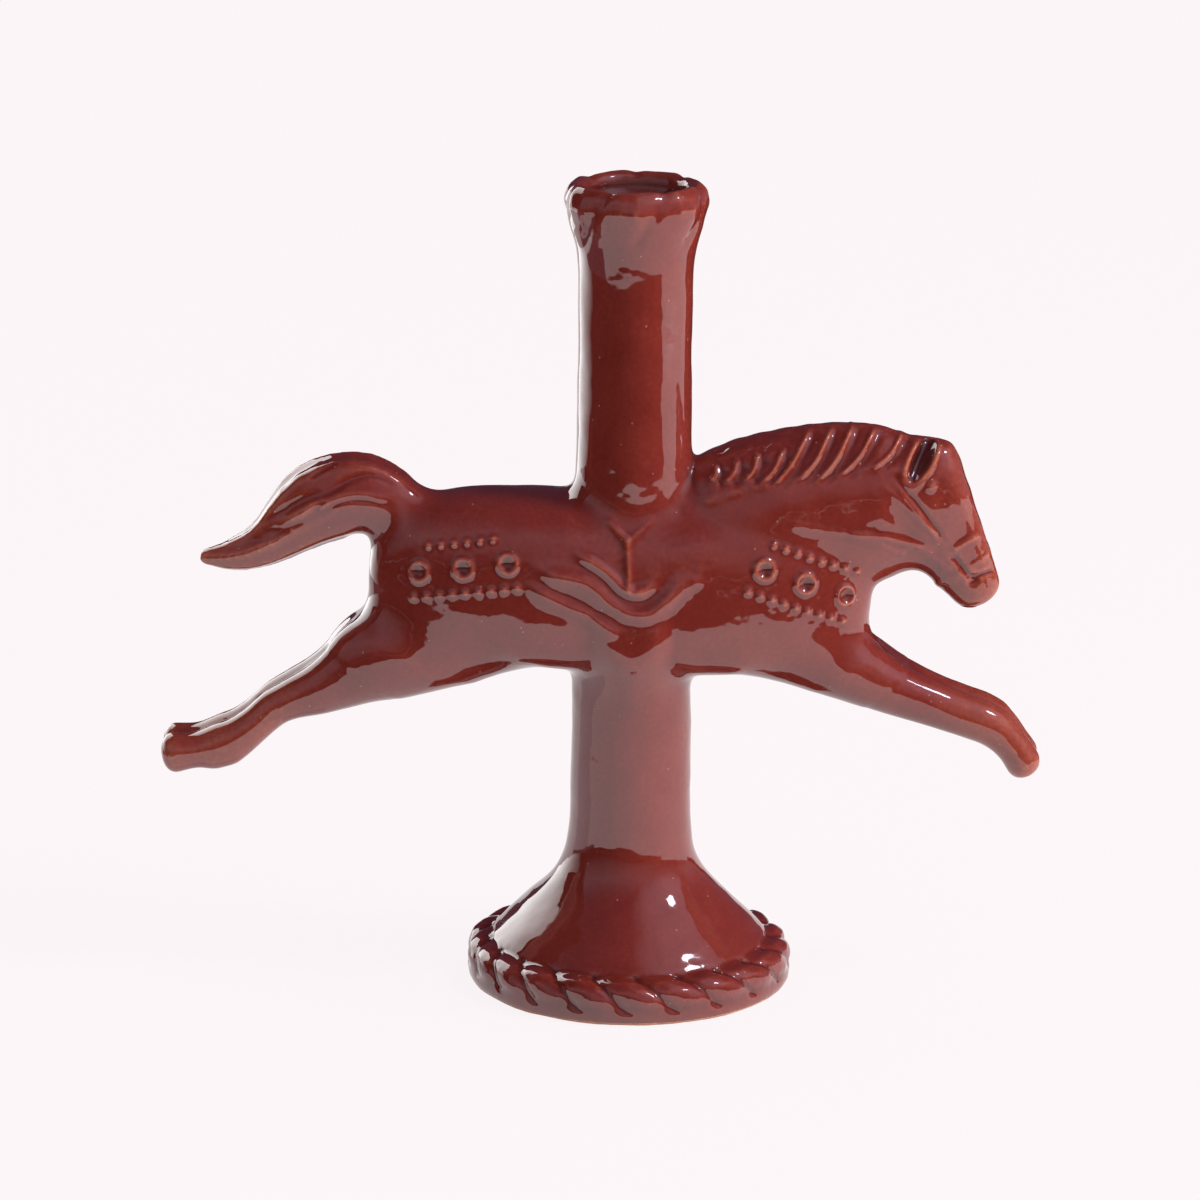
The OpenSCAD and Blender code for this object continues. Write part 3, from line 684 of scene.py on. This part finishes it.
SADDLE_STROKES = [
    ([(-1.5, 120), (-1, 112), (-1, 104)], 1.0, 0.65),
    ([(-7, 123.5), (-4.5, 121), (-1.5, 118), (-1, 116)], 1.0, 0.5),
    ([(5.5, 124), (2.5, 121), (0, 119), (-1, 117)], 1.0, 0.35),
    ([(-15, 115.5), (-9, 112.5), (-5, 109.5), (-2.5, 106.5), (0, 105.5), (3, 106), (6.5, 108)],
     1.4, 0.85),
    ([(-26, 112), (-19, 109.5), (-13, 108.5), (-9, 106.5), (-6, 103), (-2.5, 101), (1, 100),
      (5, 100.5), (8.5, 103.5), (11, 107), (14, 111)], 2.2, 1.25),
    ([(-27, 108), (-21, 104), (-15, 101.5), (-11, 100), (-7, 97), (-3, 95)], 1.7, 0.9),
]
STIRRUPS = ["right_stirrup_strap", "left_stirrup_strap"]
strokes(skin, SADDLE_STROKES, near(place_of(skin), SADDLE + STIRRUPS, 8))
print("strokes on the saddle:", len(SADDLE_STROKES))

# %% [markdown]
# The face follows the photograph: two cuts and a point for mouth and nostril, a bead for the
# eye, the long bone of the nose, and the straps of the bridle with a groove beside them. Before
# that the muzzle is made narrower, because a horse's head tapers to the front as well.

# %% Strokes on the face
MUZZLE_NARROWER = 0.25
FACE_STROKES = [
    ([(78.5, 111.5), (80, 112), (81.5, 110), (82.5, 108.5), (84, 106.5)], 0.8, -0.6),
    ([(83, 106.5), (86.5, 107), (90, 108)], 0.7, -0.5),
    ([(84.8, 105.3), (85.2, 105.7)], 1.1, -0.6),
    ([(73.5, 130.5), (73.7, 130.7)], 1.2, 0.6),
    ([(77.5, 137), (81.5, 127), (85.5, 116), (89, 107)], 2.6, 0.9),
    ([(63, 133), (69, 126), (74, 119.5), (76.5, 115.5)], 0.8, 0.38),
    ([(64.4, 133), (70.4, 126), (75.4, 119.5), (77.9, 116)], 0.8, -0.35),
    ([(61, 132), (66.5, 126.5), (71.5, 121), (74, 118.5)], 0.8, 0.32),
    ([(79, 113.5), (82, 115.5), (85.5, 117.5)], 1.0, 0.42),
    ([(53, 119), (61, 118.5), (68, 116), (72, 115), (75, 114)], 1.1, 0.45),
    ([(62, 127), (67, 119.5), (74.5, 113.5)], 1.6, -0.25),
]
place = place_of(skin)
narrow = rising(place[:, 0], 62, 76) * rising(place[:, 2], 134, 104) * (place[:, 2] > 98)
place[:, 1] *= 1 - MUZZLE_NARROWER * narrow
move_to(skin, place)
face = near(place, ["head"], 3) | (near(place, ["neck"], 3) & (place[:, 0] > 50))
strokes(skin, FACE_STROKES, face)
print("strokes on the face:", len(FACE_STROKES))

# %% [markdown]
# An ear is a long hollow with a low rim. It is an ellipse in the side view, which leans forward.
# The hollow stops a millimetre before the middle of the head, so the two never meet.

# %% Ears
EAR_MIDDLE, EAR_LONG, EAR_WIDE = (71.3, 137.3), 6.4, 2.6
EAR_UP, EAR_ACROSS = (0.49, 0.87), (0.87, -0.49)
EAR_DEEP, EAR_RIM, MIDDLE_WALL = 3.2, 0.5, 1
place, normal = place_of(skin), outward(skin)
offset = place[:, [0, 2]] - EAR_MIDDLE
ring = np.hypot(offset @ EAR_UP / EAR_LONG, offset @ EAR_ACROSS / EAR_WIDE)
sideways = face * np.clip(2 * np.abs(normal[:, 1]), 0, 1)
ear_hollow = sideways * np.clip(1 - ring**2, 0, 1)
ear_rim = sideways * bump(ring - 1.2, 0.3)
deep = np.minimum(EAR_DEEP * ear_hollow, np.clip(np.abs(place[:, 1]) - MIDDLE_WALL, 0, None))
place[:, 1] += np.sign(place[:, 1]) * (EAR_RIM * ear_rim - deep)
move_to(skin, place)
print("ears hollowed by up to", round(float(deep.max()), 1), "mm")

# %% [markdown]
# The locks of the mane and the strands of the tail are parted by long cuts with a knife. Each
# cut bows a little, as the hand swings around the wrist. A lock has a sharp ridge beside its
# cut, and both run over the crest of the neck.

# %% Cuts in mane and tail
MANE_CUTS = [
    ((18.5, 131.5), (20.5, 135)), ((22, 131.5), (25.5, 136)), ((27, 132), (30.5, 137.5)),
    ((31, 131.5), (36.5, 138.5)), ((33.5, 130.5), (42.5, 142)), ((40, 132), (48, 142.5)),
    ((44.5, 131.5), (53.5, 143.5)), ((50, 133), (59, 143)), ((58.5, 135), (66, 142)),
]
PAST_TOP = 0.2
locks = []
for a, b in MANE_CUTS:
    top = (b[0] + PAST_TOP * (b[0] - a[0]), b[1] + PAST_TOP * (b[1] - a[1]))
    bow = ((a[0] + b[0]) / 2 + 0.9, (a[1] + b[1]) / 2 - 0.6)
    ridge = [a, bow, b, top]
    groove = [(x + 1.7, z - 0.4) for x, z in ridge]
    locks += [(ridge, 0.6, 0.5), (groove, 1.3, -0.45)]
strokes(skin, locks, near(place_of(skin), ["mane"], 3), over_the_top=0.3)
TAIL_CUTS = [
    ([(-92.5, 116), (-87.5, 118), (-82, 120.5), (-78.5, 123), (-76.5, 126)], 1.1, -0.7),
    ([(-58.5, 124), (-62.5, 125), (-68, 126), (-73.5, 125), (-77.5, 122), (-81.5, 119.5),
      (-89, 115.5), (-96.5, 113.5)], 1.1, -0.65),
    ([(-57.5, 128), (-64, 132), (-70, 131), (-75, 127.5), (-81.5, 126), (-89, 121),
      (-93.5, 118)], 1.1, -0.5),
    ([(-80.5, 130.5), (-77.5, 132.5), (-73, 134.5)], 0.6, -0.4),
]
strokes(skin, TAIL_CUTS, near(place_of(skin), ["tail"], 3))
print("cuts:", len(MANE_CUTS), "in the mane,", len(TAIL_CUTS), "in the tail")

# %% [markdown]
# The rope around the foot is rolled clay, pressed down and creased with a slanting tool. Going
# once around the rope's own section, a crease moves on by two strands, which is what makes it
# look twisted. The collar was pinched all around in the same way, with fewer and softer creases.

# %% Creases of rope and collar
ROPE_RING, ROPE_HEIGHT, STRANDS, ROPE_CREASE = 36.7, 6.2, 21, 0.50
PINCHES, PINCH_SLANT, COLLAR_MIDDLE, PINCH_DEEP = 7, 0.12, 198, 0.50
place, normal = place_of(skin), outward(skin)
from_axis, level = axis_distance(place), place[:, 2]
angle = np.arctan2(place[:, 1], place[:, 0])
twist = STRANDS / 2 * angle + np.arctan2(level - ROPE_HEIGHT, from_axis - ROPE_RING)
crease = bump(np.cos(twist), 0.35) * rising(level, 2.0, 4.5)
crease *= soften(skin, near(place, ["rope_border"], 1.2).astype(float), 5)
pinch = PINCHES / 2 * angle - PINCH_SLANT * (level - COLLAR_MIDDLE)
dent = bump(np.cos(pinch), 0.4) * (from_axis > OUTSIDE_POLE) * rising(level, 189, 193)
move_to(skin, place - normal * (ROPE_CREASE * crease + PINCH_DEEP * dent)[:, None])
print("creased points:", int((crease > 0.5).sum()), "and pinched:", int((dent > 0.5).sum()))

# %% [markdown]
# A hand-made piece is never quite even. A slow noise moves the skin by up to three tenths of a
# millimetre. That hardly shows in the outline, but it gives the reflections their wavy edges.
# Around the harness and the saddle the mould was worn and left a finer grain, which breaks the
# sun into sparkles. The socket stays true, because a candle goes in.

# %% Marks of the hand
SIZES_OF_WAVE = [(14, 0.24), (8, 0.12), (4.5, 0.06)]
GRAIN_LONG, GRAIN_HIGH = 1.6, 0.04


def hand_marks(point):
    return sum(high * noise.noise(Vector(point) / long) for long, high in SIZES_OF_WAVE)


place = place_of(skin)
wave = np.array([hand_marks(p) for p in place.tolist()])
rows = np.flatnonzero(near(place, RELIEF, 2.5))
worn = [noise.noise(Vector(p) / GRAIN_LONG) for p in place[rows].tolist()]
wave[rows] += GRAIN_HIGH * np.array(worn)
wave[axis_distance(place) < SOCKET_WALL] = 0
place += outward(skin) * wave[:, None]
place[:, 2] = np.maximum(place[:, 2], 0)
move_to(skin, place)
print("hand marks up to", round(float(np.abs(wave).max()), 2), "mm")

# %% [markdown]
# Molten glaze runs off every raised edge and gathers in every hollow. Where it is thin the
# orange clay shines through, and where it is thick it is nearly black. To know where that is,
# the skin is compared with a softened copy of itself: points that stand proud of the copy are
# edges, points that lie below it are hollows. The hollows of the ears are made darker still
# with painted shade, which goes into the same measure. The glaze is also a little thinner
# towards hooves, muzzle and tail, and thicker low on the foot. The foot's lower edge is bare.

# %% Thin and thick glaze
RUN_OFF, GATHERED_LOW, EAR_PAINTED_SHADE = 0.3, 0.25, 2.5


def bending(mesh, rounds):
    p, n = place_of(mesh), outward(mesh)
    ends = np.zeros(2 * len(mesh.edges), int)
    mesh.edges.foreach_get("vertices", ends)
    ends = ends.reshape(-1, 2)
    long = ((p[ends[:, 0]] - p[ends[:, 1]]) ** 2).sum(1)
    spacing = np.bincount(ends.ravel(), np.repeat(long, 2), len(p))
    spacing /= np.bincount(ends.ravel(), minlength=len(p))
    proud = ((p - soften(mesh, p, rounds)) * n).sum(1)
    return 8 * proud / (rounds * spacing)


place, normal = place_of(skin), outward(skin)
# painted shade: the ear hollows are drawn nearly black by lowering the measure there
proud = soften(skin, bending(skin, 8), 2) / 1.5 - EAR_PAINTED_SHADE * ear_hollow
proud += RUN_OFF * rising(np.abs(place[:, 0]), 70, 90)
proud -= GATHERED_LOW * rising(place[:, 2], 14, 8)
proud = np.clip(proud, -1, 1)
bare = rising(place[:, 2], 1.2, 0.7)
print("share of thin glaze", round(float((proud > 0.3).mean()), 3))

# %% [markdown]
# The glaze is one procedural material. Its depth comes from the measure above, painted shade
# of the ear hollows included, with slow clouds and fine speckle added, and a ramp turns depth
# into colour, from nearly black to orange-red.
# Small pale dots are pores, where a bubble burst. The surface is a clear gloss over a slight
# ripple. Bare clay is matt, and meets the glaze in an uneven line.

# %% The glaze
GLAZE_COLOURS = [(0.0, (0.075, 0.009, 0.007)), (0.34, (0.155, 0.017, 0.011)),
                 (0.54, (0.205, 0.027, 0.020)), (0.70, (0.265, 0.043, 0.026)),
                 (0.86, (0.36, 0.082, 0.046)), (1.0, (0.46, 0.135, 0.072))]
CLAY_COLOURS = [(0.3, (0.50, 0.21, 0.12)), (0.7, (0.62, 0.30, 0.19))]
PORE_COLOUR, PORE_SIZE = (0.45, 0.25, 0.18, 1), 0.055
CLOUDS, SPECKLE = 0.28, 0.24
GLAZE_IOR, RIPPLE_DEEP = 1.85, 0.00012


def mixed(tree, links, share, a, b):
    node = tree.new("ShaderNodeMix")
    node.data_type = "RGBA"
    for socket, value in ((node.inputs[0], share), (node.inputs[6], a), (node.inputs[7], b)):
        feed(links, value, socket)
    return node.outputs[2]


def measured(tree, name):
    node = tree.new("ShaderNodeAttribute")
    node.attribute_name = name
    return node.outputs["Fac"]


def grain(tree, links, where, scale, detail):
    node = tree.new("ShaderNodeTexNoise")
    node.inputs["Scale"].default_value = scale
    node.inputs["Detail"].default_value = detail
    links.new(where, node.inputs["Vector"])
    return node.outputs[0]


def ramped(tree, links, value, stops):
    ramp = colour_ramp(tree, stops)
    links.new(value, ramp.inputs[0])
    return ramp.outputs[0]


def brown_red_glaze(name, lift):
    material = bpy.data.materials.new(name)
    tree, links = shader_nodes(material)
    where = tree.new("ShaderNodeTexCoord").outputs["Object"]
    clouds = counted(tree, links, "SUBTRACT", grain(tree, links, where, 90, 3), 0.5)
    speckle = counted(tree, links, "SUBTRACT", grain(tree, links, where, 900, 2), 0.5)
    # the 'proud' measure holds the glaze's thickness and the painted shade of the ear hollows
    depth = counted(tree, links, "MULTIPLY_ADD", measured(tree, "proud"), 0.5, 0.5 + lift)
    depth = counted(tree, links, "MULTIPLY_ADD", clouds, CLOUDS, depth)
    depth = counted(tree, links, "MULTIPLY_ADD", speckle, SPECKLE, depth)
    red = ramped(tree, links, depth, GLAZE_COLOURS)

    pores = tree.new("ShaderNodeTexVoronoi")
    pores.inputs["Scale"].default_value = 210
    links.new(where, pores.inputs["Vector"])
    dots = counted(tree, links, "LESS_THAN", pores.outputs["Distance"], PORE_SIZE)
    half_dots = counted(tree, links, "MULTIPLY", dots, 0.5)
    pitted = mixed(tree, links, half_dots, red, PORE_COLOUR)

    clay = ramped(tree, links, grain(tree, links, where, 400, 4), CLAY_COLOURS)
    uneven = counted(tree, links, "MULTIPLY_ADD", clouds, 0.5, measured(tree, "bare"))
    bared = counted(tree, links, "GREATER_THAN", uneven, 0.5)
    body = tree.new("ShaderNodeBsdfPrincipled")
    body.inputs["IOR"].default_value = GLAZE_IOR
    links.new(mixed(tree, links, bared, pitted, clay), body.inputs["Base Color"])

    fine = grain(tree, links, where, 160, 2)
    gloss = counted(tree, links, "MULTIPLY_ADD", fine, 0.06, 0.015)
    matt = counted(tree, links, "MULTIPLY", bared, 0.75)
    links.new(counted(tree, links, "MAXIMUM", gloss, matt), body.inputs["Roughness"])
    ripple = tree.new("ShaderNodeBump")
    ripple.inputs["Strength"].default_value = 0.35
    ripple.inputs["Distance"].default_value = RIPPLE_DEEP
    height = counted(tree, links, "SUBTRACT", grain(tree, links, where, 300, 1), half_dots)
    links.new(height, ripple.inputs["Height"])
    links.new(ripple.outputs[0], body.inputs["Normal"])
    surface(tree, links, body)
    return material


glazes = {"glaze": brown_red_glaze("brown_red_glaze", 0.0),
          "glaze_thin": brown_red_glaze("thin_red_glaze", 0.01)}
print("glazes mixed:", ", ".join(glazes))

# %% [markdown]
# At last the skin is cut into the pieces that it came from. Each point goes to the nearest
# solid, and thin relief takes the points close around it as well. A face goes where two of its
# corners agree.

# %% Share out the skin
def corners_of_faces(mesh):
    starts = np.zeros(len(mesh.polygons), int)
    sizes = np.zeros(len(mesh.polygons), int)
    corner = np.zeros(len(mesh.loops), int)
    mesh.polygons.foreach_get("loop_start", starts)
    mesh.polygons.foreach_get("loop_total", sizes)
    mesh.loops.foreach_get("vertex_index", corner)
    fourth = np.where(sizes == 4, starts + 3, starts)
    quads = np.stack([corner[starts], corner[starts + 1], corner[starts + 2], corner[fourth]], 1)
    quads[sizes == 3, 3] = -1
    return quads


THIN_MARGIN = 1.7
owner, _ = nearest_names(place, NAMES)
for name in BANDS + STRAPS + ["right_ear", "left_ear"]:
    owner[near(place, [name], THIN_MARGIN)] = NAMES.index(name)
quads = corners_of_faces(skin)
votes = owner[quads[:, :3]]
face_owner = np.where(votes[:, 1] == votes[:, 2], votes[:, 1], votes[:, 0])
print("faces to share out:", len(quads), "among", len(np.unique(face_owner)), "pieces")

# %% [markdown]
# Where a piece was cut, its edge turns in by a millimetre, as on a cast shell, and every point
# keeps the direction that it had on the whole skin, so no cut shows under the glaze. An edge
# that only one face of a piece uses is such a cut. Each piece replaces its own solid.

# %% Cut into pieces
INWARD = 1.2


def open_edges(part, count):
    three = part[:, 3] < 0
    four = ~three
    sides = [(part[:, 0], part[:, 1]), (part[:, 1], part[:, 2]), (part[four, 2], part[four, 3]),
             (part[four, 3], part[four, 0]), (part[three, 2], part[three, 0])]
    a = np.concatenate([side[0] for side in sides])
    b = np.concatenate([side[1] for side in sides])
    key = np.minimum(a, b) * count + np.maximum(a, b)
    _, first, times = np.unique(key, return_index=True, return_counts=True)
    cut = first[times == 1]
    return a[cut], b[cut]


replaced = {}
for number, name in enumerate(NAMES):
    part = quads[face_owner == number]
    used = np.unique(part[part >= 0])
    renamed = np.full(len(place), -1)
    renamed[used] = np.arange(len(used))
    part = np.where(part < 0, -1, renamed[part])
    a, b = open_edges(part, len(used))
    rim = np.unique(np.concatenate([a, b]))
    inner = np.full(len(used), -1)
    inner[rim] = len(used) + np.arange(len(rim))
    taken = np.concatenate([used, used[rim]])
    p, n = place[taken], normal[taken]
    p[len(used):] -= INWARD * n[len(used):]
    turned = np.stack([b, a, inner[a], inner[b]], 1)
    polygons = [f[:3] if f[3] < 0 else f for f in part.tolist()] + turned.tolist()
    mesh = bpy.data.meshes.new(name + "_glazed")
    mesh.from_pydata((p / MM).tolist(), [], polygons)
    for label, values in (("proud", proud), ("bare", bare)):
        layer = mesh.attributes.new(label, "FLOAT", "POINT")
        layer.data.foreach_set("value", values[taken])
    mesh.shade_smooth()
    mesh.normals_split_custom_set_from_vertices(n.tolist())
    slot = "glaze_thin" if name in BANDS + STRAPS else "glaze"
    mesh.materials.append(glazes[slot])
    piece = bpy.data.objects.new(name + "_glazed", mesh)
    scene.collection.objects.link(piece)
    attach(piece, "root")
    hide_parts(name)
    replaced[name] = len(polygons)
bpy.data.meshes.remove(skin)
largest = max(replaced, key=replaced.get)
print("pieces:", len(replaced), "faces:", sum(replaced.values()), "largest:", largest)
